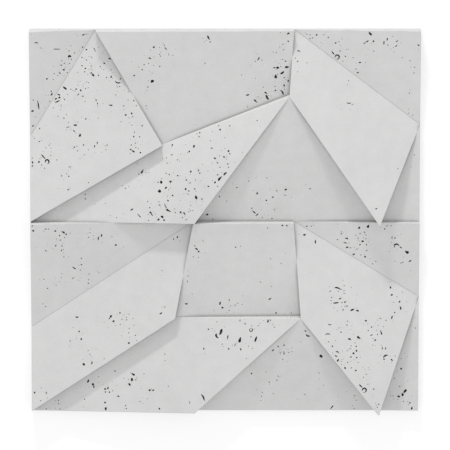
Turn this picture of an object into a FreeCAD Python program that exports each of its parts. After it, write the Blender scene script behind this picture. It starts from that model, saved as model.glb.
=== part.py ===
"""Square wall panel of cast concrete with a faceted front, lying face up on its flat back.

The front has two courses, one above the other. Each course is divided into facets that climb
from one common valley level to ridges and tips of their own, so that neighbours meet in a fold
where their heights agree and in an upright step where they don't. The model is a slab as thick
as the valleys, with one wedge on it for each facet that rises above them.
"""
import FreeCAD, Part
import os

# Driving sizes in millimetres. Places are measured from the panel's left edge and from the foot
# of their course, heights from the flat back.
SIZES = [
    ("panel_width", 600.0, "width of the panel"),
    ("course_height", 300.0, "height of one course"),
    ("valley_height", 9.0, "thickness at the folds and at the foot of the recesses"),
    ("left_fold_side_y", 133.0, "left fold on the side edge"),
    ("right_fold_top_x", 406.0, "right fold on the top edge"),
    ("middle_tip_x", 253.0, "tip of the middle facet on the foot of the course"),
    ("right_tip_inset", 61.0, "tip of the right facet on the foot of the course, from the right edge"),
    ("right_tip_width", 2.0, "blunt end of that tip"),
    ("left_corner_height", 31.0, "top left corner"),
    ("top_edge_left_height", 28.0, "top facet at the left end of its top edge"),
    ("top_edge_right_height", 23.0, "top facet at the right end of its top edge"),
    ("right_corner_height", 24.0, "top right corner"),
    ("left_ridge_height", 24.0, "left facet along its lower edge"),
    ("left_ridge_foot_y", 2.0, "left facet's lower corner above the foot of the course"),
    ("middle_tip_height", 31.0, "middle facet at its tip"),
    ("right_knee_height", 31.0, "right knee, where the middle facet, the right facet and the recess meet"),
    ("knee_foot_height", 11.0, "top facet at the foot of the right knee"),
    ("right_tip_height", 43.0, "right facet at its tip, the highest point"),
    ("low_corner_height", 12.0, "bottom right corner, and the facet along the side edge above it"),
    ("upper_left_fold_top_x", 102.0, "upper course: left fold on the top edge"),
    ("upper_right_fold_side_y", 152.0, "upper course: right fold on the side edge"),
    ("upper_left_knee_x", 203.0, "upper course: inner corner of the left facet"),
    ("upper_left_knee_y", 121.0, "upper course: inner corner of the left facet"),
    ("upper_right_knee_x", 399.0, "upper course: inner corner of the right facet"),
    ("upper_right_knee_y", 199.0, "upper course: inner corner of the right facet"),
    ("lower_left_fold_top_x", 251.0, "lower course: left fold on the top edge"),
    ("lower_right_fold_side_y", 181.0, "lower course: right fold on the side edge"),
    ("lower_left_knee_x", 223.0, "lower course: inner corner of the left facet"),
    ("lower_left_knee_y", 149.0, "lower course: inner corner of the left facet"),
    ("lower_right_knee_x", 417.0, "lower course: inner corner of the right facet"),
    ("lower_right_knee_y", 151.0, "lower course: inner corner of the right facet"),
]

COURSES = ["lower", "upper"]

# Two points nearer than this are one point.
SAME_POINT = 1e-6

doc = FreeCAD.newDocument("faceted_wall_panel")


def make_sheet():
    sheet = doc.addObject("Spreadsheet::Sheet", "sizes")
    for row, (alias, value, note) in enumerate(SIZES, start=1):
        sheet.set("A%d" % row, alias)
        sheet.set("B%d" % row, str(value))
        sheet.set("C%d" % row, note)
        sheet.setAlias("B%d" % row, alias)
    doc.recompute()
    return sheet


sheet = make_sheet()


def size(alias):
    return float(sheet.get(alias))


def raised(point, height):
    return FreeCAD.Vector(point[0], point[1], height)


def outline(points):
    """Closed polygon through the points, each taken once where two coincide."""
    kept = []
    for point in points:
        if not any(point.isEqual(other, SAME_POINT) for other in kept):
            kept.append(point)
    return Part.makePolygon(kept + kept[:1])


def facet_wedge(name, corners):
    """Solid between the slab and one facet, whose corners go round in order.

    A corner at valley height lies on the slab. Three corners give a plane. Four give a warped
    face, ruled from the edge between the first two corners to the edge between the last two.
    """
    feet = [raised(corner, size("valley_height")) for corner in corners]
    faces = [Part.Face(outline(feet))]
    for here in range(len(corners)):
        after = (here + 1) % len(corners)
        rise = max((corners[end] - feet[end]).Length for end in (here, after))
        if rise > SAME_POINT:
            side = [corners[here], corners[after], feet[after], feet[here]]
            faces.append(Part.Face(outline(side)))
    if len(corners) == 3:
        faces.append(Part.Face(outline(corners)))
    else:
        first_edge = Part.makeLine(corners[0], corners[1])
        last_edge = Part.makeLine(corners[3], corners[2])
        faces.append(Part.makeRuledSurface(first_edge, last_edge))
    shell = Part.makeShell(faces)
    shell.sewShape()
    solid = Part.Solid(shell)
    if solid.Volume < 0:
        solid.reverse()
    wedge = doc.addObject("Part::Feature", name)
    wedge.Shape = solid
    return wedge


def course_wedges(course, foot_y):
    """The raised facets of one course, which stands on the line y = foot_y."""

    def own(alias):
        return size(course + "_" + alias)

    width = size("panel_width")
    top_y = foot_y + size("course_height")
    valley = size("valley_height")

    top_left = (0.0, top_y)
    top_right = (width, top_y)
    bottom_left = (0.0, foot_y)
    bottom_right = (width, foot_y)
    left_fold_top = (own("left_fold_top_x"), top_y)
    left_fold_side = (0.0, foot_y + size("left_fold_side_y"))
    right_fold_top = (size("right_fold_top_x"), top_y)
    right_fold_side = (width, foot_y + own("right_fold_side_y"))
    left_knee = (own("left_knee_x"), foot_y + own("left_knee_y"))
    right_knee = (own("right_knee_x"), foot_y + own("right_knee_y"))
    middle_tip = (size("middle_tip_x"), foot_y)
    right_tip_end = (width - size("right_tip_inset"), foot_y)
    right_tip = (right_tip_end[0] - size("right_tip_width"), foot_y)
    left_ridge_foot = (0.0, foot_y + size("left_ridge_foot_y"))

    facets = {
        "left_corner": [
            raised(top_left, size("left_corner_height")),
            raised(left_fold_side, valley),
            raised(left_fold_top, valley),
        ],
        "left": [
            raised(left_fold_top, valley),
            raised(left_fold_side, valley),
            raised(left_ridge_foot, size("left_ridge_height")),
            raised(left_knee, size("left_ridge_height")),
        ],
        "top": [
            raised(left_fold_top, size("top_edge_left_height")),
            raised(right_fold_top, size("top_edge_right_height")),
            raised(right_knee, size("knee_foot_height")),
            raised(left_knee, valley),
        ],
        "middle": [
            raised(left_knee, valley),
            raised(bottom_left, valley),
            raised(middle_tip, size("middle_tip_height")),
            raised(right_knee, size("right_knee_height")),
        ],
        "recess": [
            raised(right_knee, size("right_knee_height")),
            raised(middle_tip, valley),
            raised(right_tip, valley),
        ],
        "right": [
            raised(right_fold_top, valley),
            raised(right_fold_side, valley),
            raised(right_tip, size("right_tip_height")),
            raised(right_knee, size("right_knee_height")),
        ],
        "right_tip": [
            raised(right_fold_side, valley),
            raised(right_tip_end, size("right_tip_height")),
            raised(right_tip, size("right_tip_height")),
        ],
        "right_corner": [
            raised(top_right, size("right_corner_height")),
            raised(right_fold_top, valley),
            raised(right_fold_side, valley),
        ],
        "low_corner": [
            raised(right_fold_side, size("low_corner_height")),
            raised(right_tip_end, valley),
            raised(bottom_right, size("low_corner_height")),
        ],
    }
    return [facet_wedge(course + "_" + name, corners) for name, corners in facets.items()]


def make_panel():
    """One casting, centred on the origin with its back on the floor."""
    panel_height = "sizes.course_height * %d" % len(COURSES)
    slab = doc.addObject("Part::Box", "slab")
    slab.setExpression("Length", "sizes.panel_width")
    slab.setExpression("Width", panel_height)
    slab.setExpression("Height", "sizes.valley_height")
    wedges = []
    for index, course in enumerate(COURSES):
        wedges += course_wedges(course, index * size("course_height"))
    panel = doc.addObject("Part::MultiFuse", "wall_panel")
    panel.Label = "wall_panel"
    panel.Shapes = [slab] + wedges
    panel.Refine = True
    panel.setExpression("Placement.Base.x", "-sizes.panel_width / 2")
    panel.setExpression("Placement.Base.y", "-%s / 2" % panel_height)
    return panel


def check(panel):
    for item in doc.Objects:
        if {"Invalid", "Error"} & set(item.State):
            raise RuntimeError("%s failed: %s" % (item.Label, item.State))
    shape = panel.Shape
    if shape.isNull() or not shape.isValid():
        raise RuntimeError("%s has no valid shape" % panel.Label)
    if len(shape.Solids) != 1:
        raise RuntimeError("%s is not one solid" % panel.Label)


panel = make_panel()
doc.recompute()
check(panel)

os.makedirs("parts", exist_ok=True)
panel.Shape.exportStep("parts/%s.step" % panel.Label)
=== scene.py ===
"""Dressed model of a square wall panel of cast concrete, lying face up in a plain studio.

The panel is modelled as one casting: faceted front, upright steps between the facets, sides and
back, with slightly worn arrises and open air pits. Lengths are in millimetres until the mesh is
made, measured from the panel's left edge and lower edge, with heights from its back.
"""
import math
import random

import bmesh
import bpy
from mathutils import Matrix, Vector, geometry, noise
from mathutils.bvhtree import BVHTree


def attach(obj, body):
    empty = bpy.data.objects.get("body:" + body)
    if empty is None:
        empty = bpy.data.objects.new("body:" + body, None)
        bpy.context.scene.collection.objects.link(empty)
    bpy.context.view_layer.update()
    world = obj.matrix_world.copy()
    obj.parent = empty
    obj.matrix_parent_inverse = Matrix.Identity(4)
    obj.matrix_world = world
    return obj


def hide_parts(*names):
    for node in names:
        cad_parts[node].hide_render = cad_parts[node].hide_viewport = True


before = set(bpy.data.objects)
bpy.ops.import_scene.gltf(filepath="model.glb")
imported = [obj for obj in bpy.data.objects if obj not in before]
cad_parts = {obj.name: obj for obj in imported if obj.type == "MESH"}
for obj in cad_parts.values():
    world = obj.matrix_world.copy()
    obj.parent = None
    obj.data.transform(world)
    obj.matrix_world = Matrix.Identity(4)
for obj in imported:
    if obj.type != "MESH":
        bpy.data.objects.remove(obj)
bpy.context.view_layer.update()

# Sizes of the front, the same as in the part's own source
MM = 0.001
PANEL_WIDTH = 600.0
COURSE_HEIGHT = 300.0
VALLEY_HEIGHT = 9.0
LEFT_FOLD_SIDE_Y = 133.0
RIGHT_FOLD_TOP_X = 406.0
MIDDLE_TIP_X = 253.0
RIGHT_TIP_INSET = 61.0
RIGHT_TIP_WIDTH = 2.0
LEFT_CORNER_HEIGHT = 31.0
TOP_EDGE_LEFT_HEIGHT = 28.0
TOP_EDGE_RIGHT_HEIGHT = 23.0
RIGHT_CORNER_HEIGHT = 24.0
LEFT_RIDGE_HEIGHT = 24.0
LEFT_RIDGE_FOOT_Y = 2.0
MIDDLE_TIP_HEIGHT = 31.0
RIGHT_KNEE_HEIGHT = 31.0
KNEE_FOOT_HEIGHT = 11.0
RIGHT_TIP_HEIGHT = 43.0
LOW_CORNER_HEIGHT = 12.0
COURSES = {
    "lower": {
        "foot_y": 0.0,
        "left_fold_top_x": 251.0,
        "right_fold_side_y": 181.0,
        "left_knee": (223.0, 149.0),
        "right_knee": (417.0, 151.0),
    },
    "upper": {
        "foot_y": COURSE_HEIGHT,
        "left_fold_top_x": 102.0,
        "right_fold_side_y": 152.0,
        "left_knee": (203.0, 121.0),
        "right_knee": (399.0, 199.0),
    },
}
PANEL_HEIGHT = COURSE_HEIGHT * len(COURSES)

# How finely the surfaces are divided, and what counts as the same place
EDGE_STEP = 6.0
UPRIGHT_STEP = 5.0
INSIDE_STEP = 13.0
INSIDE_SHAKE = 4.0
INSIDE_EDGE_ROOM = 4.0
INSIDE_PIT_ROOM = 2.0
SAME_PLACE = 1e-3
PLACE_DIGITS = 4
WELD = 0.01
NEWTON_STEPS = 6
# Triangles fill an outline on its inside only, and points nearer than this become one
FILL_INSIDE = 1
FILL_WELD = 1e-5

# Arrises, worn unevenly, and less where the step beside one is low
ARRIS_WIDTH = 1.5
ARRIS_ANGLE = math.radians(25.0)
ARRIS_SEGMENTS = 2
ARRIS_WEAR = 0.45
ARRIS_SPREAD = 0.55
ARRIS_LEAST_WEAR = 0.1
WEAR_LENGTH = 9.0
FULL_WEAR_RISE = 6.0
LOOK_OUT = 0.5
SMOOTH_ANGLE = math.radians(12.0)

# Thin groove that the mould leaves along each fold, and where the points beside it lie, as shares
# of each step along it
FOLD_WIDTH = 1.8
FOLD_DEPTH = 0.42
FOLD_ROW_SHARES = (0.25, 0.75)

# Air pits
SEED = 24
PIT_SCALE = 1.1
PIT_EDGE_ROOM = 1.8
PIT_GAP = 0.5
PIT_SIDES = 8
PIT_SIDE_LENGTH = 1.2
PIT_MOST_SIDES = 28
PIT_UNEVEN = 0.75
PIT_CUTS = 900.0
PIT_DEEPEST = 4.0
PIT_DEPTH_SHARE = (0.45, 1.35)
ROUND_PIT_SHARE = 0.82
# Rings from the rim down: share of the outline and share of the depth
PIT_RINGS = [(1.0, 0.0), (0.97, 0.35), (0.8, 0.72), (0.45, 1.0)]
# Fine pits round each one that is listed
FINE_PITS_EACH = 1.3
FINE_PIT_SIZES = (0.8, 1.5)
FINE_PIT_SPREAD = 9.0
# Chance pits on the upright faces and on the back, one try for so much area
UPRIGHT_PIT_AREA = 260.0
UPRIGHT_PIT_SIZES = (1.0, 2.8)
BACK_PIT_AREA = 1500.0
BACK_PIT_SIZES = (1.5, 5.5)

# How far a pit may move, and in how many directions, where the place read for it has no room
PIT_MOVES = (0.7, 1.4, 2.1, 2.8, 3.5)
PIT_MOVE_TURNS = 12

# Where the photograph was taken from. The pits' places are read at one height above the back, as
# if the front were flat, and then follow the line of sight down or up to the facet that they are
# on. The scale that they were read on starts a little outside the left and lower edges.
SIGHT_FROM = Vector((318.0, 894.0, 2094.0))
READ_HEIGHT = 20.0
READ_START = -1.7
READ_SCALE = 1.0034

# Pits seen on the upper course: x, y and size of a round one, or x, y, length, width, turn and
# bend in degrees of a long one
UPPER_PITS = [
    # Left corner
    (12, 581, 6, 1.6, -15, -60), (19, 573, 1.5), (45, 571, 12, 1.2, -3), (85, 593, 5, 2, 20),
    (90, 594, 1.7), (66, 576, 1.5), (63, 568, 1.8), (72, 565, 1.9), (64, 560, 4.5),
    (67, 555, 1.9), (64, 549, 1.8), (52, 553, 1.6), (51, 546, 2.4), (56, 549, 1.8), (55, 539, 3),
    (49, 534, 2.6), (62, 534, 1.9), (40, 533, 1.8), (29, 525, 3), (39, 524, 1.5),
    (37, 501, 5, 2, 60, 90), (36, 505, 2), (34, 489, 1.8), (16, 484, 12, 1.8, -80), (6, 475, 3.4),
    (8, 492, 1.7), (8, 452, 2.6), (11, 466, 1.5),
    # Left facet
    (86, 571, 1.7), (90, 570, 2.8), (102, 571, 3, 1.5, -60), (103, 569, 1.7), (83, 558, 2),
    (90, 554, 1.7), (98, 558, 1.7), (83, 545, 2.2), (88, 541, 2.2), (87, 536, 1.8),
    (97, 545, 1.7), (97, 534, 3), (99, 531, 4.2, 3, -70), (108, 530, 2.2), (117, 549, 2.8),
    (111, 544, 1.6), (126, 556, 3), (127, 539, 1.7), (127, 528, 3), (120, 527, 1.8),
    (141, 525, 2.3), (136, 519, 9, 1.8, -25, 100), (140, 513, 1.7), (56, 511, 8, 2.4, -32),
    (66, 509, 1.8), (74, 509, 2.6), (81, 507, 2.6), (77, 501, 2.2), (84, 498, 2.2),
    (88, 510, 1.7), (92, 511, 1.7), (93, 519, 1.5), (90, 520, 1.5), (47, 502, 3.2), (49, 497, 3),
    (41, 494, 4, 2, 30), (46, 490, 7, 1.8, 25), (56, 493, 1.8), (61, 501, 1.7), (39, 480, 1.5),
    (50, 477, 1.5), (55, 464, 2.2), (46, 467, 1.5), (88, 463, 2.2), (107, 464, 1.5),
    (104, 492, 3, 1.6, -70), (106, 487, 3, 1.2, -80), (126, 484, 6, 1.5, 0, 70), (134, 500, 1.6),
    (146, 483, 1.8), (162, 491, 2), (165, 483, 1.6), (153, 505, 1.5), (72, 453, 5, 2.4, -15, 40),
    (76, 458, 1.6), (70, 444, 4, 1.4, -40), (60, 450, 6, 1, 20, -60), (79, 437, 4.8, 3.4, 80),
    (149, 469, 2.6), (158, 471, 2.8), (159, 466, 1.7), (158, 453, 1.7), (174, 452, 2.2),
    (162, 442, 1.8), (161, 435, 2.2), (170, 435, 2.2), (163, 425, 1.7), (157, 422, 1.8),
    (164, 418, 1.7), (156, 415, 3, 1.8, -40), (160, 412, 5, 2.2, -35), (171, 410, 2.8),
    (16, 396, 2.8), (20, 391, 1.7), (30.6, 398.4, 15, 2.1, -45, -300), (23.4, 402.4, 7, 1.7, -46),
    (34, 406, 1.5), (43, 399, 1.8), (5, 395, 4, 1.8, 90), (4, 390, 2.2), (4, 402, 1.6),
    (24, 386, 1.8), (17, 428, 2.2), (18, 448, 2.2), (10, 433, 1.6), (32, 422, 1.5),
    (27, 418, 1.5), (70, 419, 2), (74, 420, 1.7), (84, 422, 2.1), (101, 420, 5, 1.4, 85),
    (105, 425, 4, 1.4, 85), (120, 422, 1.8), (118, 415, 1.6), (85, 407, 1.6),
    (63, 388, 4, 1.3, 0), (50, 374, 2.2), (58, 377, 1.7), (61, 373, 2.2), (60, 352, 2.2),
    (91, 363, 1.7),
    # Middle facet
    (87, 346, 2), (87, 339, 2.2), (174, 381, 6, 2.4, 50), (169, 377, 2.2), (180, 379, 1.5),
    (148, 355, 1.8), (220, 422, 4, 2, 60), (262, 441, 2.2), (261, 435, 1.7), (253, 420, 3.6),
    (246, 412, 2.2), (219, 407, 2.2), (228, 399, 2), (211, 402, 1.6), (212, 394, 1.7),
    (291, 452, 1.7), (293, 446, 2.8), (280, 417, 2.6), (306, 412, 2.8), (292, 405, 1.7),
    (285, 401, 3), (299, 403, 2.8), (289, 394, 2.1), (293, 387, 2.2), (305, 392, 2.2),
    (215, 376, 2.1), (211, 378, 1.6), (228, 374, 2.4), (248, 380, 3.2), (260, 382, 3, 1.5, 60),
    (262, 378, 2.2), (241, 367, 2.2), (247, 363, 1.7), (255, 367, 1.7), (203, 364, 4.6, 3.4, 80),
    (198, 364, 2), (217, 365, 4), (210, 355, 5, 2.4, 45), (214, 352, 1.7), (200, 350, 4.8),
    (240, 353, 2.8), (245, 350, 2.2), (244, 345, 1.7), (254, 353, 2.1), (220, 343, 2.6),
    (213, 335, 3), (199, 333, 1.7), (200, 328, 2.2), (256, 340, 6, 3, -75), (265, 337, 2.2),
    (275, 357, 2.8), (292, 369, 9, 2.6, 50), (285, 363, 3), (289, 375, 2.2),
    (301, 377, 8, 2.2, 40), (289, 357, 1.8), (157, 321, 5, 2, 35), (169, 311, 7, 1.3, -50),
    (182, 334, 1.7), (185, 324, 2.1), (187, 315, 7, 2.8, -55), (209, 326, 8, 1.2, -60, 60),
    (214, 319, 6, 2.6, -30), (224, 316, 1.8), (232, 316, 3), (238, 314, 5, 2, -60),
    (235, 308, 1.8), (245, 317, 1.7), (251, 319, 1.7), (248, 327, 1.7), (241, 305, 1.7),
    (204, 309, 4), (207, 304, 2.8), (198, 305, 4, 2.6, 45), (183, 304, 1.7), (134, 309, 1.6),
    (308, 452, 2.2), (350, 460, 1.7), (308, 408, 2), (306, 387, 1.8),
    # Top facet
    (192, 574, 3.2), (208, 577, 1.7), (210, 572, 4, 1.4, -50), (201, 563, 1.7), (202, 560, 1.7),
    (215, 562, 1.6), (221, 561, 1.5), (186, 557, 4, 2, -25), (184, 549, 1.6), (177, 547, 2.2),
    (174, 539, 2.3), (201, 544, 2.1), (162, 530, 3.5, 1.5, 30), (190, 521, 5.4), (183, 512, 2.2),
    (275, 589, 7, 2.4, -70, 20), (278, 582, 2.1), (270, 549, 1.5), (180, 483, 1.7),
    (397, 595, 5, 2.4, 35), (397, 583, 2.2), (389, 578, 1.7), (390, 570, 1.8),
    (352, 556, 6, 1.9, 60), (347, 552, 1.7), (357, 554, 1.6), (389, 555, 1.8), (393, 552, 2.2),
    (395, 543, 5, 2.8, 5), (386, 544, 1.7), (381, 542, 4.4), (376, 542, 3.5, 1.8, 0),
    (388, 534, 6, 2.8, 35), (378, 528, 5), (391, 527, 1.8), (397, 522, 2.8), (391, 515, 3),
    (377, 513, 1.7), (378, 507, 2.5), (388, 504, 8, 2.6, -50, -50), (326, 531, 1.6),
    (359, 512, 1.6), (363, 503, 4, 2, -50), (365, 496, 8, 3, -60), (335, 500, 5, 2.3, 30),
    (347, 491, 7, 1.8, -42), (351, 497, 1.6),
    # Right corner
    (425, 594, 1.7), (430, 587, 1.8), (434, 588, 1.7), (430, 593, 1.7), (440, 593, 3),
    (451, 593, 1.6), (458, 589, 2.2), (469, 580, 2.2), (474, 582, 1.6), (522, 595, 5, 3.4, -70),
    (513, 580, 3, 1.4, 20), (516, 582, 4, 1.8, 20), (527, 583, 3), (543, 581, 5, 1.4, 85),
    (548, 586, 4.4, 1.7, 80), (549, 577, 1.7), (563, 583, 4, 1.4, 45), (562, 576, 4, 1.4, 45),
    (596, 577, 2.8), (472.4, 560.3, 15, 2.1, -45, -300), (465, 564.2, 7, 1.7, -45),
    (484, 560, 2.1), (476, 568, 3, 1.3, -10), (527, 568, 1.6), (506, 550, 4, 2, -10),
    (503, 535, 2.5), (500, 540, 1.7), (590, 543, 1.6), (589, 534, 1.7), (583, 553, 1.5),
    (582, 503, 1.6), (581, 472, 1.6), (587, 469, 1.7),
    # Right facet
    (413, 568, 5, 1.9, 0), (412, 552, 2.2), (408, 557, 1.6), (490, 487, 6, 1.2, 0, 80),
    (495, 485, 1.7), (489, 522, 1.5), (566, 385, 1.6), (534, 321, 3, 1.5, 0),
    # Recess and low corner
    (365, 371, 1.7), (337, 366, 1.6), (319, 356, 3, 1.4, 0), (350, 347, 4, 2.3, 60),
    (394, 353, 3.6), (393, 344, 1.8), (380, 351, 2.1), (374, 341, 2.5), (364, 336, 2.5),
    (431, 354, 3.5, 1.3, 0), (345, 318, 7, 2, -40), (350, 314, 5, 1.8, 30), (342, 324, 2),
    (358, 310, 1.7), (376, 322, 1.7), (373, 308, 2.1), (292, 342, 2.1), (273, 314, 4, 2, 20),
    (282, 307, 1.8), (590, 407, 1.7),
]

# Pits seen on the lower course, listed in the same way
LOWER_PITS = [
    # Left corner
    (4, 295, 2), (5, 287, 3), (24, 290, 3.5, 1.2, 0), (29, 290, 1.6), (39, 287, 2.8),
    (52, 285, 5, 2.6, -35), (56, 282, 2.8), (46, 280, 2.1), (54, 277, 1.7), (47, 273, 1.9),
    (40, 264, 2.3), (50, 264, 2.1), (49, 257, 2.3), (53, 247, 1.8), (25, 256, 3, 1.3, -40),
    (93, 285, 1.7), (91, 278, 1.8), (106, 276, 5, 1.8, 80), (111, 281, 4, 1.6, 80),
    (127, 279, 1.5), (133, 266, 3.2), (80, 245, 1.8), (80, 235, 2.1), (69, 230, 6, 1.7, -42),
    (67, 214, 1.7), (50, 221, 1.5), (49, 215, 1.6), (92, 221, 1.7), (91, 212, 1.8),
    (91, 207, 2.1), (22, 212, 1.7), (28, 198, 2.2), (41, 203, 1.5), (107, 223, 1.5),
    (25, 170, 1.6),
    # Left facet
    (222, 276, 2), (228, 279, 3), (204, 226, 1.7), (73, 153, 5, 2.2, 0, 70),
    (125, 154, 5, 2.3, 60), (129, 146, 3), (139, 159, 2.1), (123, 151, 2), (142, 149, 1.6),
    (149, 148, 1.8), (153, 157, 1.5), (159, 150, 1.6), (139, 141, 1.6), (202, 158, 4, 1.9, 35),
    (208, 168, 1.7), (76, 130, 2.5), (79, 118, 2.8), (62, 115, 2), (153, 134, 1.6),
    (152, 127, 1.7), (162, 123, 1.7), (152, 111, 2.8), (89, 99, 1.6), (92, 93, 1.7), (82, 77, 4),
    (95, 79, 6, 1.6, 80, 60), (114, 86, 1.7), (6, 32, 3), (24, 32, 3.5, 1.3, -60), (15, 19, 1.7),
    # Middle facet
    (90, 52, 6, 2.4, 60), (97, 47, 4), (97, 43, 3), (116, 39, 3.4), (120, 41, 4, 1.8, 85),
    (116, 34, 2.1), (122, 34, 2.1), (131, 68, 2.2), (159, 62, 5, 2.8, -40), (157, 54, 4),
    (163, 53, 2.1), (153, 46, 5, 2.3, -42), (176, 63, 1.6), (136, 27, 3), (115, 17, 2.8),
    (116, 6, 4), (147, 12, 2.5), (148, 7, 1.8), (169, 18, 2), (184, 36, 3), (190, 36, 3),
    (213, 42, 1.7), (199, 6, 3), (208, 94, 1.7), (268, 102, 3.5, 1.5, 85), (275, 133, 2.1),
    (287, 122, 8, 3, -60, 130), (294, 129, 8, 3.4, 70), (305, 120, 6, 1.8, 85), (306, 101, 2.5),
    (296, 109, 1.7), (267, 23, 10, 2.2, -62), (246, 16, 1.8), (288, 145, 1.7), (84, 23, 1.7),
    (44, 22, 1.7), (44, 16, 1.8), (45, 6, 1.7), (25, 7, 1.6), (324, 147, 2.2),
    (332, 141, 3, 1.5, -50), (367, 146, 4, 1.8, 80), (371, 147, 2.1), (352, 138, 1.7),
    (342, 129, 12.5, 1.5, 30, 330), (324, 115, 7, 3.2, 75), (348, 116, 8, 2.6, 75),
    (325, 100, 4, 1.8, -60), (341, 120, 1.7), (337, 105, 1.6), (343, 101, 1.6),
    (316, 107, 4, 1.2, 80), (377, 135, 1.6),
    # Top facet
    (254, 264, 2.1), (257, 259, 5, 2.6, -35), (260, 255, 2.8), (252, 247, 1.6), (260, 246, 1.6),
    (244, 217, 1.8), (243, 208, 1.7), (241, 174, 4.5, 2.2, 0, 60), (293, 175, 5, 2.2, 75),
    (297, 168, 3), (307, 180, 2.1), (307, 164, 1.7), (389, 296, 2.6), (396, 296, 2.6),
    (366, 292, 1.7), (317, 262, 2.2), (371, 244, 1.7), (387, 237, 1.6), (317, 172, 1.7),
    (320, 175, 1.5), (327, 173, 1.5), (370, 182, 5, 1.8, 38), (379, 160, 2.8), (403, 160, 1.7),
    (355, 208, 1.6),
    # Right corner
    (426, 296, 3.5, 1.7, 35), (433, 296, 1.7), (479, 284, 2.4), (507, 293, 4), (520, 295, 4),
    (515, 286, 1.8), (508, 284, 1.8), (517, 282, 1.8), (487, 277, 5, 2, -10, -70),
    (473, 275, 1.8), (485, 270, 5, 1.8, -20, -60), (488, 263, 3.2), (493, 262, 1.8),
    (505, 277, 1.7), (512, 272, 4, 2.8, 45), (508, 267, 2.5), (517, 276, 1.7), (518, 267, 2.2),
    (498, 252, 3), (503, 260, 1.7), (509, 251, 1.6), (516, 248, 2.8), (518, 258, 1.7),
    (527, 237, 1.7), (532, 241, 1.7), (557, 277.5, 4.5, 1.2, 80, -100), (562, 277, 3, 1.6, 80),
    (563, 267, 8, 2.2, 15, -120), (560.5, 263.3, 2.4), (571, 262, 4, 1.8, -30), (580, 255, 5),
    (574, 239, 1.9), (571, 238, 1.7), (585, 241, 4, 2, 10), (586, 226, 1.6),
    (546, 291, 3, 1.4, 45), (550, 296, 1.7), (556, 296, 1.7),
    # Right facet
    (422, 282, 4, 2.6, 20), (439, 271, 5, 2.2, 85), (473, 199, 10, 2.4, -10, -70),
    (463, 193, 4, 1.2, 40), (475, 193, 1.7), (484, 202, 1.6), (484, 194, 1.7), (484, 190, 1.6),
    (465, 183, 1.6), (478, 181, 4, 1.8, 20), (464, 178, 1.6), (472, 174, 9, 1.6, 5, 40),
    (481, 175, 1.8), (486, 176, 4, 2, 40), (489, 169, 2.5), (483, 163, 2.2),
    (497, 163, 7, 2.4, 30, 80), (505, 162, 5, 2.2, -10), (555, 200, 3.4, 2.2, 85),
    (557, 188, 3.6), (565, 185, 1.8), (569, 177, 3), (571, 167, 5, 2.2, -80), (562, 160, 2),
    (558, 152, 4.4, 2, 75), (549, 147, 1.7), (540, 150, 1.8), (518, 146, 3.2), (527, 136, 2.2),
    (522, 130, 1.8), (542, 127, 7, 1.8, -70), (527, 123, 4, 1.8, 20), (536, 124, 1.8),
    (533, 115, 4, 1.5, 45), (489, 139, 2.1), (490, 145, 1.6), (463, 139, 4, 1.2, 0),
    (480, 127, 2.2), (477, 134, 1.6), (459, 124, 6, 1.7, 0, -60), (494, 116, 5, 2.2, -15, -60),
    (507, 119, 5, 2.6, -30, -60), (502, 110, 1.8), (496, 105, 1.8), (504, 104, 2.2),
    (504, 97, 2.8), (500, 93, 3), (496, 87, 2.5), (505, 86, 2.2), (490, 97, 1.7), (493, 100, 1.7),
    (467, 104, 2.6), (461, 111, 1.7), (475, 95, 5, 2.2, -20, -70), (473, 88, 4, 1.8, -20),
    (476, 81, 3.2), (481, 79, 1.8), (487, 69, 3), (491, 78, 1.7), (497, 69, 1.8), (504, 65, 2.5),
    (507, 78, 1.6), (544, 102, 4.5, 1.2, 80, -100), (549, 101.5, 3, 1.6, 80),
    (549.5, 90, 8, 2.2, 15, -120), (547, 86.3, 2.4), (559, 83, 4, 1.8, -45),
    (519.7, 35.3, 15, 2.1, -45, -300), (512.4, 38.8, 6.5, 1.8, -45), (523, 43, 1.7),
    (532, 35, 2.1), (520, 59, 1.7), (516, 54, 1.6), (540, 10, 2.1), (538, 5, 1.7),
    # Recess
    (425, 129, 2.6), (428, 122, 6, 2.4, -30, 60), (449, 90, 5, 3.6, -35), (383, 105, 4, 1.8, -60),
    (375, 99, 4, 2, 50), (392, 107, 2.1), (392, 95, 5, 1.6, 85), (386, 95, 1.7), (399, 96, 1.7),
    (404, 97, 1.6), (390, 85, 1.7), (342, 63, 2.5), (446, 64, 1.7), (381, 53, 1.7),
    (383, 59, 1.7), (369, 50, 1.7), (358, 34, 1.6), (357, 28, 1.6), (375, 32, 1.6),
    (424, 31, 1.7), (465, 11, 5, 2.3, 50), (501, 29, 1.7), (503, 22, 1.7), (500, 9, 1.7),
    (453, 45, 1.5),
    # Low corner
    (594, 136, 1.7), (572, 72, 3.2), (572, 88, 1.6), (579, 37, 6, 3.4, 60), (575, 32, 5, 3, 60),
    (569, 28, 4, 2.8, 20), (570, 44, 1.8), (562, 57, 1.7), (586, 18, 2.6), (588, 9, 3.2),
    (576, 20, 1.7), (556, 29, 1.6), (560, 29, 1.7),
]

# Concrete: its colour, which three patterns of noise vary, cloudy, blotchy and sandy. Each has a
# scale, a detail and a roughness, the range of it that counts, and the tones that this gives.
CONCRETE_COLOUR = (0.66, 0.66, 0.658)
CLOUDS = (7.0, 4.0, 0.55)
CLOUD_RANGE = (0.25, 0.75)
CLOUD_TONES = (0.97, 1.03)
BLOTCHES = (55.0, 3.0, 0.5)
BLOTCH_RANGE = (0.25, 0.75)
BLOTCH_TONES = (0.975, 1.025)
GRAIN = (800.0, 2.0, 0.6)
GRAIN_RANGE = (0.2, 0.8)
GRAIN_TONES = (0.925, 1.075)
# Gloss, and the relief of the grain in metres
ROUGHNESS = (0.82, 0.96)
SPECULAR = 0.3
GRAIN_STRENGTH = 0.35
GRAIN_HEIGHT = 0.0004
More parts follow.
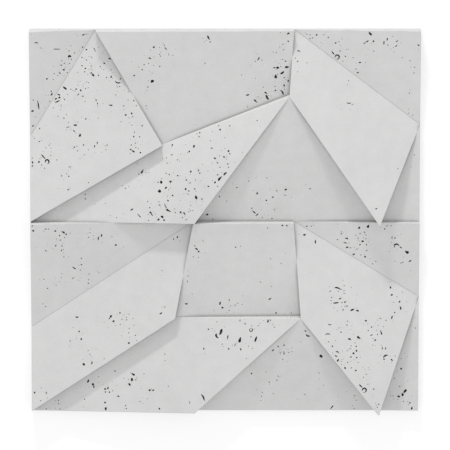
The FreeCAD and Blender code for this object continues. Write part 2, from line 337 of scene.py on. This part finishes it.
# Painted shade in the pits: the colour darkens from the rim down to a share of their depth
PIT_SHADE_RANGE = (0.0, 0.5)
PIT_SHADE_TONES = (1.0, 0.1)
# Painted shade in the inner corners, from an occlusion node: how far it reaches, in metres, how
# open the corners are in which it is darkest, and its tones from there to the open surface
CORNER_SHADE_REACH = 0.005
CORNER_SHADE_RANGE = (0.15, 1.0)
CORNER_SHADE_TONES = (0.43, 1.0)

# Sockets of a colour mix, which are told apart by number only
MIX_FIRST = 6
MIX_SECOND = 7
MIX_RESULT = 2

# Light and stage: distances and sizes in metres, lamp power in watts
WHITE = (1.0, 1.0, 1.0, 1.0)
SKY_STRENGTH = 0.85
KEY_POWER = 64.0
KEY_SIZE = (0.6, 0.26)
KEY_DISTANCE = 4.0
KEY_ELEVATION = math.radians(17.5)
KEY_FROM_LEFT = math.radians(7.0)
FLOOR_REACH = 6.0
FLOOR_COLOUR = (0.6, 0.6, 0.6, 1.0)
FLOOR_GLOW = 0.47

# Camera at the photograph's viewing angle: distances in metres, lens in millimetres
CAMERA_TILT = math.radians(11.5)
CAMERA_DISTANCE = 8.0
CAMERA_LENS = 414.0
CAMERA_AIM_Y = -0.0077

random.seed(SEED)


def place(point):
    """Plan position of a point, rounded so that equal places compare equal."""
    return (round(point[0], PLACE_DIGITS), round(point[1], PLACE_DIGITS))


def between(start, end, share):
    return (start[0] + (end[0] - start[0]) * share, start[1] + (end[1] - start[1]) * share)


def length_of(start, end):
    return math.hypot(end[0] - start[0], end[1] - start[1])


class Facet:
    """One face of the front, whose corners go round in order and rise to heights of their own.

    Three corners give a plane. Four give a warped face, ruled from the edge between the first two
    corners to the edge between the last two. A plan of its own carries the face past its corners.
    """

    def __init__(self, name, corners, plan=None):
        self.name = name
        self.corners = [Vector(corner) for corner in corners]
        self.plan = [place(corner) for corner in plan or corners]

    def height(self, x, y):
        if len(self.corners) == 3:
            first, second, third = self.corners
            normal = (second - first).cross(third - first)
            return first.z - (normal.x * (x - first.x) + normal.y * (y - first.y)) / normal.z
        first, second, third, fourth = self.corners
        along = 0.5
        across = 0.5
        for _ in range(NEWTON_STEPS):
            near = first.lerp(second, along)
            far = fourth.lerp(third, along)
            here = near.lerp(far, across)
            by_along = (second - first).lerp(third - fourth, across)
            by_across = far - near
            turn = by_along.x * by_across.y - by_along.y * by_across.x
            miss_x = x - here.x
            miss_y = y - here.y
            along += (miss_x * by_across.y - miss_y * by_across.x) / turn
            across += (by_along.x * miss_y - by_along.y * miss_x) / turn
        near = first.lerp(second, along)
        far = fourth.lerp(third, along)
        return near.lerp(far, across).z


def course_facets(course, own):
    """The facets of one course, among them the narrow strip below the left ridge."""
    foot_y = own["foot_y"]
    top_y = foot_y + COURSE_HEIGHT
    left_knee = (own["left_knee"][0], foot_y + own["left_knee"][1])
    right_knee = (own["right_knee"][0], foot_y + own["right_knee"][1])
    left_fold_top = (own["left_fold_top_x"], top_y)
    left_fold_side = (0.0, foot_y + LEFT_FOLD_SIDE_Y)
    left_ridge_foot = (0.0, foot_y + LEFT_RIDGE_FOOT_Y)
    right_fold_top = (RIGHT_FOLD_TOP_X, top_y)
    right_fold_side = (PANEL_WIDTH, foot_y + own["right_fold_side_y"])
    middle_tip = (MIDDLE_TIP_X, foot_y)
    right_tip_end = (PANEL_WIDTH - RIGHT_TIP_INSET, foot_y)
    right_tip = (right_tip_end[0] - RIGHT_TIP_WIDTH, foot_y)
    plans = {"right": [right_fold_top, right_fold_side, right_tip_end, right_tip, right_knee]}
    corners = {
        "left_corner": [
            (0.0, top_y, LEFT_CORNER_HEIGHT),
            (*left_fold_side, VALLEY_HEIGHT),
            (*left_fold_top, VALLEY_HEIGHT),
        ],
        "left": [
            (*left_fold_top, VALLEY_HEIGHT),
            (*left_fold_side, VALLEY_HEIGHT),
            (*left_ridge_foot, LEFT_RIDGE_HEIGHT),
            (*left_knee, LEFT_RIDGE_HEIGHT),
        ],
        "strip": [
            (*left_ridge_foot, VALLEY_HEIGHT),
            (0.0, foot_y, VALLEY_HEIGHT),
            (*left_knee, VALLEY_HEIGHT),
        ],
        "top": [
            (*left_fold_top, TOP_EDGE_LEFT_HEIGHT),
            (*right_fold_top, TOP_EDGE_RIGHT_HEIGHT),
            (*right_knee, KNEE_FOOT_HEIGHT),
            (*left_knee, VALLEY_HEIGHT),
        ],
        "middle": [
            (*left_knee, VALLEY_HEIGHT),
            (0.0, foot_y, VALLEY_HEIGHT),
            (*middle_tip, MIDDLE_TIP_HEIGHT),
            (*right_knee, RIGHT_KNEE_HEIGHT),
        ],
        "recess": [
            (*right_knee, RIGHT_KNEE_HEIGHT),
            (*middle_tip, VALLEY_HEIGHT),
            (*right_tip, VALLEY_HEIGHT),
        ],
        "right": [
            (*right_fold_top, VALLEY_HEIGHT),
            (*right_fold_side, VALLEY_HEIGHT),
            (*right_tip, RIGHT_TIP_HEIGHT),
            (*right_knee, RIGHT_KNEE_HEIGHT),
        ],
        "right_corner": [
            (PANEL_WIDTH, top_y, RIGHT_CORNER_HEIGHT),
            (*right_fold_top, VALLEY_HEIGHT),
            (*right_fold_side, VALLEY_HEIGHT),
        ],
        "low_corner": [
            (*right_fold_side, LOW_CORNER_HEIGHT),
            (*right_tip_end, VALLEY_HEIGHT),
            (PANEL_WIDTH, foot_y, LOW_CORNER_HEIGHT),
        ],
    }
    return [Facet(course + "_" + name, points, plans.get(name)) for name, points in corners.items()]


def share_along(point, start, end):
    """How far along a line a point lies inside it, from 0 to 1, or None if it is off the line."""
    span = length_of(start, end)
    run = (end[0] - start[0], end[1] - start[1])
    reach = (point[0] - start[0], point[1] - start[1])
    off = abs(run[0] * reach[1] - run[1] * reach[0]) / span
    share = (run[0] * reach[0] + run[1] * reach[1]) / span ** 2
    if off < SAME_PLACE and SAME_PLACE < share * span < span - SAME_PLACE:
        return share
    return None


def cut_loop(corners, stops):
    """The sides of a plan polygon, cut at every stop that lies on them."""
    sides = []
    for index, start in enumerate(corners):
        end = corners[(index + 1) % len(corners)]
        shares = {}
        for stop in stops:
            share = share_along(stop, start, end)
            if share is not None:
                shares[stop] = share
        chain = [start] + sorted(shares, key=shares.get) + [end]
        sides += list(zip(chain, chain[1:]))
    return sides


def owners_of_edges(facets, stops):
    """The one or two facets that each plan edge belongs to."""
    owners = {}
    for facet in facets:
        for side in cut_loop(facet.plan, stops):
            owners.setdefault(tuple(sorted(side)), []).append(facet)
    return owners


def crossings(facets, stops):
    """Places inside a shared edge where the higher and the lower facet change over."""
    found = set()
    for (start, end), pair in owners_of_edges(facets, stops).items():
        if len(pair) == 2:
            first = pair[0].height(*start) - pair[1].height(*start)
            last = pair[0].height(*end) - pair[1].height(*end)
            if first * last < -SAME_PLACE:
                found.add(place(between(start, end, first / (first - last))))
    return found


def divided(start, end):
    """Evenly spaced plan points on an edge, the same whichever facet asks."""
    first, last = sorted((start, end))
    count = max(1, math.ceil(length_of(first, last) / EDGE_STEP))
    points = [place(between(first, last, step / count)) for step in range(count + 1)]
    if first != start:
        points.reverse()
    return points


def plan_outline(corners, stops):
    outline = []
    for start, end in cut_loop(corners, stops):
        outline += divided(start, end)[:-1]
    return outline


def inside(point, loop):
    """True if a two-dimensional point lies within a closed loop."""
    x, y = point
    within = False
    for index, (x1, y1) in enumerate(loop):
        x2, y2 = loop[index - 1]
        if (y1 > y) != (y2 > y) and x < (x2 - x1) * (y - y1) / (y2 - y1) + x1:
            within = not within
    return within


def edge_room(point, loop):
    """Distance from a point to the nearest side of a loop."""
    nearest = math.inf
    for index, end in enumerate(loop):
        start = loop[index - 1]
        share = geometry.intersect_point_line(point, start, end)[1]
        on_side = between(start, end, min(1.0, max(0.0, share)))
        nearest = min(nearest, length_of(point, on_side))
    return nearest


class Pit:
    """An air pit: an oval of a length and width, turned, bent into a bow or curl, and uneven."""

    def __init__(self, x, y, length, across=None, turn=0.0, bend=0.0):
        self.centre = (x, y)
        self.length = length
        self.across = across or length * ROUND_PIT_SHARE
        self.turn = math.radians(turn if across else random.uniform(0.0, 180.0))
        self.bend = math.radians(bend)
        self.cut = random.uniform(0.0, PIT_CUTS)
        self.depth_share = random.uniform(*PIT_DEPTH_SHARE)
        self.depth = min(PIT_DEEPEST, self.across * self.depth_share)
        self.count = min(PIT_MOST_SIDES, PIT_SIDES + 2 * round(length / PIT_SIDE_LENGTH))
        self.rim = self.ring(1.0)
        self.reach = max(length_of(point, self.centre) for point in self.rim)

    def move(self, x, y):
        self.centre = (x, y)
        self.rim = self.ring(1.0)

    def meets(self, other):
        if length_of(self.centre, other.centre) > self.reach + other.reach + PIT_GAP:
            return False
        if inside(self.centre, other.rim) or inside(other.centre, self.rim):
            return True
        return any(edge_room(point, other.rim) < PIT_GAP or inside(point, other.rim)
                   for point in self.rim)

    def ring(self, scale):
        """Points round the pit at a share of its full outline."""
        points = []
        cos = math.cos(self.turn)
        sin = math.sin(self.turn)
        for index in range(self.count):
            angle = 2 * math.pi * index / self.count
            wobble = noise.noise(Vector((math.cos(angle), math.sin(angle), self.cut)))
            share = scale * (1.0 + PIT_UNEVEN * wobble)
            along = math.cos(angle) * share * self.length / 2
            aside = math.sin(angle) * share * self.across / 2
            if self.bend:
                radius = self.length / self.bend
                sweep = along / radius
                along = (radius - aside) * math.sin(sweep)
                aside = radius - (radius - aside) * math.cos(sweep)
            x = self.centre[0] + along * cos - aside * sin
            y = self.centre[1] + along * sin + aside * cos
            points.append((x, y))
        return points


class Patch:
    """A flat outline to be filled with triangles, its pits, and the way from it into space.

    The outline is a loop of two-dimensional points. lift turns such a point and a depth below the
    surface into a point in space.
    """

    def __init__(self, outline, lift):
        self.outline = outline
        self.lift = lift
        self.pits = []
        self.fold_places = set()
        self.fold_rows = []

    def take(self, pit):
        """Adds a pit if there is room for it."""
        if not inside(pit.centre, self.outline):
            return False
        if edge_room(pit.centre, self.outline) < pit.reach + PIT_EDGE_ROOM:
            if min(edge_room(point, self.outline) for point in pit.rim) < PIT_EDGE_ROOM:
                return False
        if any(pit.meets(other) for other in self.pits):
            return False
        self.pits.append(pit)
        return True

    def groove(self, start, end):
        """Sinks the fold along one side of the outline, between two rows of points beside it."""
        line = divided(start, end)
        self.fold_places.update(line[1:-1])
        span = length_of(start, end)
        run = (end[0] - start[0], end[1] - start[1])
        aside = (-run[1] / span * FOLD_WIDTH / 2, run[0] / span * FOLD_WIDTH / 2)
        middle = between(start, end, 0.5)
        if not inside((middle[0] + aside[0], middle[1] + aside[1]), self.outline):
            aside = (-aside[0], -aside[1])
        for first, second in zip(line, line[1:]):
            for share in FOLD_ROW_SHARES:
                x, y = between(first, second, share)
                self.fold_rows.append((x + aside[0], y + aside[1]))

    def settle(self, pit):
        """Adds a pit at its own place, or as near to it as there is room."""
        if self.take(pit):
            return
        x, y = pit.centre
        for reach in PIT_MOVES:
            for turn in range(PIT_MOVE_TURNS):
                angle = 2 * math.pi * turn / PIT_MOVE_TURNS
                pit.move(x + reach * math.cos(angle), y + reach * math.sin(angle))
                if self.take(pit):
                    return

    def scatter(self, area_each, sizes):
        """Tries chance pits, one for so much area of the patch's bounding box."""
        xs = [point[0] for point in self.outline]
        ys = [point[1] for point in self.outline]
        tries = round((max(xs) - min(xs)) * (max(ys) - min(ys)) / area_each)
        for _ in range(tries):
            x = random.uniform(min(xs), max(xs))
            y = random.uniform(min(ys), max(ys))
            self.take(Pit(x, y, random.uniform(*sizes)))

    def loose_points(self):
        """Points within the patch, on a shaken grid, clear of its edges and pits."""
        xs = [point[0] for point in self.outline]
        ys = [point[1] for point in self.outline]
        points = []
        for row in range(1, math.ceil((max(ys) - min(ys)) / INSIDE_STEP)):
            for column in range(1, math.ceil((max(xs) - min(xs)) / INSIDE_STEP)):
                x = min(xs) + column * INSIDE_STEP + random.uniform(-INSIDE_SHAKE, INSIDE_SHAKE)
                y = min(ys) + row * INSIDE_STEP + random.uniform(-INSIDE_SHAKE, INSIDE_SHAKE)
                if not inside((x, y), self.outline):
                    continue
                if edge_room((x, y), self.outline) < INSIDE_EDGE_ROOM:
                    continue
                if all(length_of((x, y), pit.centre) > pit.reach + INSIDE_PIT_ROOM
                       for pit in self.pits):
                    points.append((x, y))
        return points


def facet_patch(facet, stops):
    def lift(point, depth=0.0):
        return Vector((point[0], point[1], facet.height(*point) - depth))

    return Patch(plan_outline(facet.plan, stops), lift)


def back_patch(stops):
    corners = [(0.0, 0.0), (PANEL_WIDTH, 0.0), (PANEL_WIDTH, PANEL_HEIGHT), (0.0, PANEL_HEIGHT)]

    def lift(point, depth=0.0):
        return Vector((point[0], point[1], depth))

    return Patch(plan_outline(corners, stops), lift)


def upright_levels(facets, stops):
    """All heights at which something meets the upright line through each corner of the plan."""
    levels = {}
    for edge, owners in owners_of_edges(facets, stops).items():
        for point in edge:
            meeting = levels.setdefault(point, set())
            meeting.update(round(facet.height(*point), PLACE_DIGITS) for facet in owners)
            if len(owners) == 1:
                meeting.add(0.0)
    return levels


def climb(levels, low, high):
    """Heights on an upright line from low to high, with every level between and no long gap."""
    inner = [level for level in sorted(levels) if low + SAME_PLACE < level < high - SAME_PLACE]
    stops = [low] + inner + [high]
    heights = [low]
    for below, above in zip(stops, stops[1:]):
        count = max(1, math.ceil((above - below) / UPRIGHT_STEP - SAME_PLACE))
        heights += [below + (above - below) * step / count for step in range(1, count + 1)]
    return heights


def upright_patch(start, end, low_at, high_at, levels):
    """Upright face along a plan edge, between two heights. Its outline is length by height."""
    span = length_of(start, end)
    lows = []
    highs = []
    for point in divided(start, end):
        lows.append((length_of(start, point), low_at(*point)))
        highs.append((length_of(start, point), high_at(*point)))
    outline = list(lows)
    if highs[-1][1] - lows[-1][1] > SAME_PLACE:
        rise = climb(levels[end], lows[-1][1], highs[-1][1])
        outline += [(span, height) for height in rise[1:]]
    outline += reversed(highs[1:-1])
    if highs[0][1] - lows[0][1] > SAME_PLACE:
        rise = climb(levels[start], lows[0][1], highs[0][1])
        outline += [(0.0, height) for height in reversed(rise[1:])]
    inward = (-(end[1] - start[1]) / span, (end[0] - start[0]) / span)

    def lift(point, depth=0.0):
        x, y = between(start, end, point[0] / span)
        return Vector((x + inward[0] * depth, y + inward[1] * depth, point[1]))

    return Patch(outline, lift)


def upright_patches(facets, stops):
    """Steps between facets and the panel's four sides, each with its solid on the left."""
    levels = upright_levels(facets, stops)
    patches = []
    for (start, end), owners in owners_of_edges(facets, stops).items():
        middle = between(start, end, 0.5)
        owners.sort(key=lambda facet: facet.height(*middle))
        top = owners[-1]
        low_at = owners[0].height if len(owners) == 2 else lambda x, y: 0.0
        rise = max(top.height(*point) - low_at(*point) for point in (start, end))
        if rise < SAME_PLACE:
            continue
        centre = sum(top.corners, Vector()) / len(top.corners)
        run = (end[0] - start[0], end[1] - start[1])
        if run[0] * (centre.y - start[1]) < run[1] * (centre.x - start[0]):
            start, end = end, start
        patches.append(upright_patch(start, end, low_at, top.height, levels))
    return patches


class Casting:
    """Collects the faces of all patches into one closed mesh."""

    def __init__(self):
        self.mesh = bmesh.new()
        # Share of each point's depth in its pit, from which the material paints shade into the
        # pits.
        self.sunk = self.mesh.verts.layers.float.new("pit_depth")
        self.patch_number = self.mesh.faces.layers.int.new("patch")
        self.patches = 0

    def vertex(self, point, sunk=0.0):
        centred = Vector((point.x - PANEL_WIDTH / 2, point.y - PANEL_HEIGHT / 2, point.z))
        vertex = self.mesh.verts.new(centred * MM)
        vertex[self.sunk] = sunk
        return vertex

    def face(self, corners):
        made = self.mesh.faces.new(corners)
        made[self.patch_number] = self.patches

    def add(self, patch):
        """Triangles over a patch, with its pits sunk into it."""
        self.patches += 1
        points = list(patch.outline)
        owners = [None] * len(points)
        loops = [range(len(points))]
        for pit in patch.pits:
            loops.append(range(len(points), len(points) + pit.count))
            points += pit.rim
            owners += [pit] * pit.count
        loose = patch.loose_points() + patch.fold_rows
        points += loose
        owners += [None] * len(loose)
        edges = []
        for loop in loops:
            edges += zip(loop, [*loop[1:], loop[0]])
        flat = [Vector(point) for point in points]
        filled = geometry.delaunay_2d_cdt(flat, edges, [], FILL_INSIDE, FILL_WELD)
        places, _, triangles, sources = filled[:4]
        vertices = []
        for point, source in zip(places, sources):
            on_fold = points[source[0]] in patch.fold_places
            vertices.append(self.vertex(patch.lift(point, FOLD_DEPTH if on_fold else 0.0)))
        for triangle in triangles:
            pit = owners[sources[triangle[0]][0]]
            if pit and all(owners[sources[index][0]] is pit for index in triangle):
                middle = sum((places[index] for index in triangle), Vector((0.0, 0.0))) / 3
                if inside(middle, pit.rim):
                    continue
            self.face([vertices[index] for index in triangle])
        for pit in patch.pits:
            self.sink(patch, pit)

    def sink(self, patch, pit):
        """Walls and floor of one pit."""
        rings = []
        for scale, share in PIT_RINGS:
            depth = pit.depth * share
            # This share, stored with each ring, sets the painted shade in the pit.
            sunk = share * min(1.0, pit.depth_share)
            rings.append([self.vertex(patch.lift(point, depth), sunk) for point in pit.ring(scale)])
        for upper, lower in zip(rings, rings[1:]):
            for index in range(pit.count):
                self.face([upper[index - 1], upper[index], lower[index], lower[index - 1]])
        floor = rings[-1]
        for index in range(pit.count // 2):
            corners = [floor[index], floor[index + 1], floor[-index - 1], floor[-index]]
            self.face(list(dict.fromkeys(corners)))

    def close(self):
        """Joins the patches and turns all faces outward."""
        bmesh.ops.remove_doubles(self.mesh, verts=self.mesh.verts, dist=WELD * MM)
        bmesh.ops.recalc_face_normals(self.mesh, faces=self.mesh.faces)

    def mark_arrises(self):
        """Weights for the wear of the outward edges, less where the step beside one is low."""
        weight = self.mesh.edges.layers.float.new("bevel_weight_edge")
        surface = BVHTree.FromBMesh(self.mesh)
        for edge in self.mesh.edges:
            first, second = edge.link_faces
            if first[self.patch_number] == second[self.patch_number]:
                continue
            if edge.calc_face_angle_signed() < ARRIS_ANGLE:
                continue
            middle = (edge.verts[0].co + edge.verts[1].co) / 2
            rise = FULL_WEAR_RISE
            for face in (first, second):
                if abs(face.normal.z) < SAME_PLACE:
                    outside = middle + face.normal * LOOK_OUT * MM
                    drop = surface.ray_cast(outside, Vector((0.0, 0.0, -1.0)))[3]
                    rise = min(rise, drop / MM if drop else FULL_WEAR_RISE)
            wear = ARRIS_WEAR + ARRIS_SPREAD * noise.noise(middle / (WEAR_LENGTH * MM))
            edge[weight] = max(ARRIS_LEAST_WEAR, min(1.0, wear)) * rise / FULL_WEAR_RISE


def on_relief(x, y, facets):
    """The facet that is seen at a place read off the photograph, and the real place on it."""
    read = Vector((READ_START + READ_SCALE * x, READ_START + READ_SCALE * y, READ_HEIGHT))
    found = None
    for facet in facets:
        spot = read
        for _ in range(NEWTON_STEPS):
            height = facet.height(spot.x, spot.y)
            share = (SIGHT_FROM.z - height) / (SIGHT_FROM.z - READ_HEIGHT)
            spot = SIGHT_FROM.lerp(read, share)
        if inside(spot.xy, facet.plan) and (found is None or spot.z > found[1].z):
            found = (facet, spot)
    return found


def groove_folds(facets, stops, patches):
    """Grooves along the edges at which two facets meet at one height."""
    for (start, end), owners in owners_of_edges(facets, stops).items():
        if len(owners) == 2 and "strip" not in owners[0].name + owners[1].name:
            first, second = owners
            rises = [abs(first.height(*point) - second.height(*point)) for point in (start, end)]
            if max(rises) < SAME_PLACE:
                for facet in owners:
                    patches[facet.name].groove(start, end)


def add_seen_pits(facets, patches):
    """The listed pits, then a few finer ones near each of them."""
    spots = []
    for x, y, length, *shape in UPPER_PITS + LOWER_PITS:
        facet, spot = on_relief(x, y, facets)
        across = [shape[0] * PIT_SCALE] if shape else []
        pit = Pit(spot.x, spot.y, length * PIT_SCALE, *across, *shape[1:])
        patches[facet.name].settle(pit)
        spots.append((patches[facet.name], spot))
    for patch, spot in spots:
        chance = random.random()
        for _ in range(int(FINE_PITS_EACH + chance)):
            x = random.gauss(spot.x, FINE_PIT_SPREAD)
            y = random.gauss(spot.y, FINE_PIT_SPREAD)
            patch.take(Pit(x, y, random.uniform(*FINE_PIT_SIZES)))


def make_casting():
    facets = []
    for course, own in COURSES.items():
        facets += course_facets(course, own)
    stops = {point for facet in facets for point in facet.plan}
    stops |= crossings(facets, stops)
    front = {facet.name: facet_patch(facet, stops) for facet in facets}
    groove_folds(facets, stops, front)
    add_seen_pits(facets, front)
    uprights = upright_patches(facets, stops)
    for patch in uprights:
        patch.scatter(UPRIGHT_PIT_AREA, UPRIGHT_PIT_SIZES)
    back = back_patch(stops)
    back.scatter(BACK_PIT_AREA, BACK_PIT_SIZES)
    casting = Casting()
    for patch in [*front.values(), *uprights, back]:
        casting.add(patch)
    casting.close()
    casting.mark_arrises()
    return casting.mesh


def make_panel():
    """The casting as an object, with its arrises rounded."""
    built = make_casting()
    rough = bpy.data.meshes.new("panel_rough")
    built.to_mesh(rough)
    panel = bpy.data.objects.new("panel_casting", rough)
    bpy.context.scene.collection.objects.link(panel)
    bevel = panel.modifiers.new("arrises", "BEVEL")
    bevel.limit_method = "WEIGHT"
    bevel.width = ARRIS_WIDTH * MM
    bevel.segments = ARRIS_SEGMENTS
    bevel.use_clamp_overlap = False
    rounded = panel.evaluated_get(bpy.context.evaluated_depsgraph_get())
    worn = bpy.data.meshes.new_from_object(rounded)
    panel.modifiers.clear()
    panel.data = worn
    worn.name = "panel_casting"
    worn.shade_smooth()
    worn.set_sharp_from_angle(angle=SMOOTH_ANGLE)
    return panel


class Nodes:
    """Short forms for building a node tree."""

    def __init__(self, tree):
        self.tree = tree

    def add(self, kind, **settings):
        node = self.tree.nodes.new(kind)
        for key, value in settings.items():
            setattr(node, key, value)
        return node

    def link(self, source, target):
        self.tree.links.new(source, target)

    def noise(self, position, scale, detail, roughness):
        node = self.add("ShaderNodeTexNoise")
        node.inputs["Scale"].default_value = scale
        node.inputs["Detail"].default_value = detail
        node.inputs["Roughness"].default_value = roughness
        self.link(position, node.inputs["Vector"])
        return node.outputs["Fac"]

    def ranged(self, source, results, span=(0.0, 1.0)):
        """A value that runs from one result to the other as the source goes over the span."""
        node = self.add("ShaderNodeMapRange")
        node.inputs["From Min"].default_value = span[0]
        node.inputs["From Max"].default_value = span[1]
        node.inputs["To Min"].default_value = results[0]
        node.inputs["To Max"].default_value = results[1]
        self.link(source, node.inputs["Value"])
        return node.outputs["Result"]

    def math(self, operation, first, second):
        node = self.add("ShaderNodeMath", operation=operation)
        self.link(first, node.inputs[0])
        self.link(second, node.inputs[1])
        return node.outputs[0]

    def toned(self, tone, colour):
        """A colour times a tone, which may be more than 1."""
        node = self.add("ShaderNodeMix", data_type="RGBA", clamp_factor=False)
        self.link(tone, node.inputs["Factor"])
        node.inputs[MIX_FIRST].default_value = (0.0, 0.0, 0.0, 1.0)
        node.inputs[MIX_SECOND].default_value = (*colour, 1.0)
        return node.outputs[MIX_RESULT]


def concrete():
    """Pale cast concrete: cloudy grey, fine sand grain and a matt surface, with painted shade in
    the pits and in the inner corners.
    """
    material = bpy.data.materials.new("concrete")
    material.use_nodes = True
    nodes = Nodes(material.node_tree)
    shader = material.node_tree.nodes["Principled BSDF"]
    position = nodes.add("ShaderNodeTexCoord").outputs["Object"]
    clouds = nodes.noise(position, *CLOUDS)
    blotches = nodes.noise(position, *BLOTCHES)
    grain = nodes.noise(position, *GRAIN)
    # Painted shade: the colour darkens from each pit's rim down into it, by the depth share stored
    # with its points.
    sunk = nodes.add("ShaderNodeAttribute", attribute_name="pit_depth").outputs["Fac"]
    # Painted shade: an occlusion node darkens the colour in the inner corners and at the foot of
    # each step.
    corners = nodes.add("ShaderNodeAmbientOcclusion", only_local=True)
    corners.inputs["Distance"].default_value = CORNER_SHADE_REACH
    tones = [
        nodes.ranged(clouds, CLOUD_TONES, CLOUD_RANGE),
        nodes.ranged(blotches, BLOTCH_TONES, BLOTCH_RANGE),
        nodes.ranged(grain, GRAIN_TONES, GRAIN_RANGE),
        nodes.ranged(sunk, PIT_SHADE_TONES, PIT_SHADE_RANGE),
        nodes.ranged(corners.outputs["AO"], CORNER_SHADE_TONES, CORNER_SHADE_RANGE),
    ]
    tone = tones[0]
    for other in tones[1:]:
        tone = nodes.math("MULTIPLY", tone, other)
    nodes.link(nodes.toned(tone, CONCRETE_COLOUR), shader.inputs["Base Color"])
    nodes.link(nodes.ranged(blotches, ROUGHNESS), shader.inputs["Roughness"])
    shader.inputs["Specular IOR Level"].default_value = SPECULAR
    bump = nodes.add("ShaderNodeBump")
    bump.inputs["Strength"].default_value = GRAIN_STRENGTH
    bump.inputs["Distance"].default_value = GRAIN_HEIGHT
    nodes.link(grain, bump.inputs["Height"])
    nodes.link(bump.outputs["Normal"], shader.inputs["Normal"])
    return material


def make_floor():
    """Pale floor that keeps the panel's shadow and shows as white to the camera."""
    mesh = bpy.data.meshes.new("floor")
    signs = [(-1, -1), (1, -1), (1, 1), (-1, 1)]
    corners = [(x * FLOOR_REACH, y * FLOOR_REACH, 0.0) for x, y in signs]
    mesh.from_pydata(corners, [], [(0, 1, 2, 3)])
    material = bpy.data.materials.new("floor")
    material.use_nodes = True
    nodes = Nodes(material.node_tree)
    shader = material.node_tree.nodes["Principled BSDF"]
    shader.inputs["Base Color"].default_value = FLOOR_COLOUR
    shader.inputs["Roughness"].default_value = 1.0
    shader.inputs["Specular IOR Level"].default_value = 0.0
    rays = nodes.add("ShaderNodeLightPath")
    seen = nodes.math("MAXIMUM", rays.outputs["Is Camera Ray"], rays.outputs["Is Glossy Ray"])
    seen = nodes.math("MAXIMUM", seen, rays.outputs["Is Transmission Ray"])
    shader.inputs["Emission Color"].default_value = WHITE
    nodes.link(nodes.ranged(seen, (0.0, FLOOR_GLOW)), shader.inputs["Emission Strength"])
    mesh.materials.append(material)
    floor = bpy.data.objects.new("floor", mesh)
    bpy.context.scene.collection.objects.link(floor)


def make_light():
    """Soft light from all round and one broad lamp, low beyond the top edge."""
    world = bpy.data.worlds.new("studio")
    world.use_nodes = True
    background = world.node_tree.nodes["Background"]
    background.inputs["Color"].default_value = WHITE
    background.inputs["Strength"].default_value = SKY_STRENGTH
    bpy.context.scene.world = world
    lamp = bpy.data.lights.new("key", "AREA")
    lamp.shape = "RECTANGLE"
    lamp.size = KEY_SIZE[0]
    lamp.size_y = KEY_SIZE[1]
    lamp.energy = KEY_POWER
    key = bpy.data.objects.new("key", lamp)
    level = math.cos(KEY_ELEVATION)
    towards = Vector((-level * math.sin(KEY_FROM_LEFT), level * math.cos(KEY_FROM_LEFT),
                      math.sin(KEY_ELEVATION)))
    key.location = towards * KEY_DISTANCE
    key.rotation_euler = (-towards).to_track_quat("-Z", "Y").to_euler()
    bpy.context.scene.collection.objects.link(key)


def make_camera():
    data = bpy.data.cameras.new("camera")
    data.lens = CAMERA_LENS
    camera = bpy.data.objects.new("camera", data)
    away = CAMERA_DISTANCE * math.sin(CAMERA_TILT)
    camera.location = (0.0, CAMERA_AIM_Y + away, CAMERA_DISTANCE * math.cos(CAMERA_TILT))
    camera.rotation_euler = (-CAMERA_TILT, 0.0, 0.0)
    bpy.context.scene.collection.objects.link(camera)
    bpy.context.scene.camera = camera


panel = make_panel()
panel.data.materials.append(concrete())
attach(panel, "root")
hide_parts("wall_panel")
make_floor()
make_light()
make_camera()
bpy.context.scene.view_settings.view_transform = "Standard"
